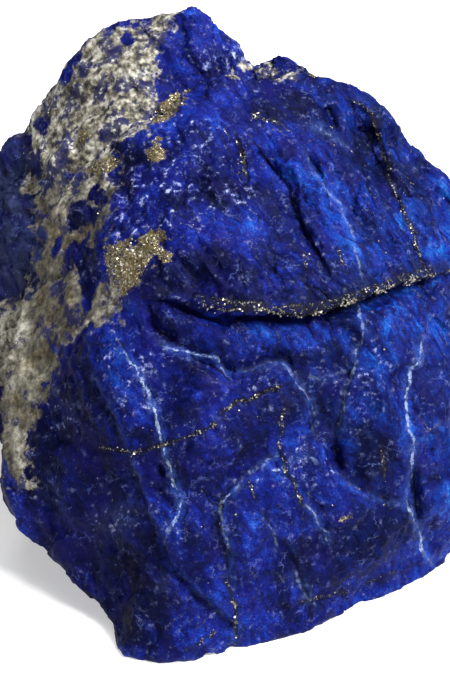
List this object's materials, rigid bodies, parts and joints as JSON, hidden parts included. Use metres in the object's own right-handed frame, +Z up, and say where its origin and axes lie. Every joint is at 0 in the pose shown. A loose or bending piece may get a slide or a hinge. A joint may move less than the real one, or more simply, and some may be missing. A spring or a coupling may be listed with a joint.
{
  "type": "rough lapis lazuli stone",
  "caption": "Blocky rough stone of deep blue rock with a pale host-rock flank, gold pyrite grains and a long step across its front, resting on a flat underside.",
  "frame": {"origin": "centre of the bounding box at the level of the underside the stone rests on", "axes": "+Z up from the resting face, +Y from the front face towards the back lobe, +X to the right as seen from the front"},
  "size_m": [0.0828, 0.084, 0.0676],
  "materials": {
    "lapis": "rough broken face, slightly waxy"
  },
  "bodies": {
    "root": {"lapis_stone": "lapis"}
  },
  "joints": []
}
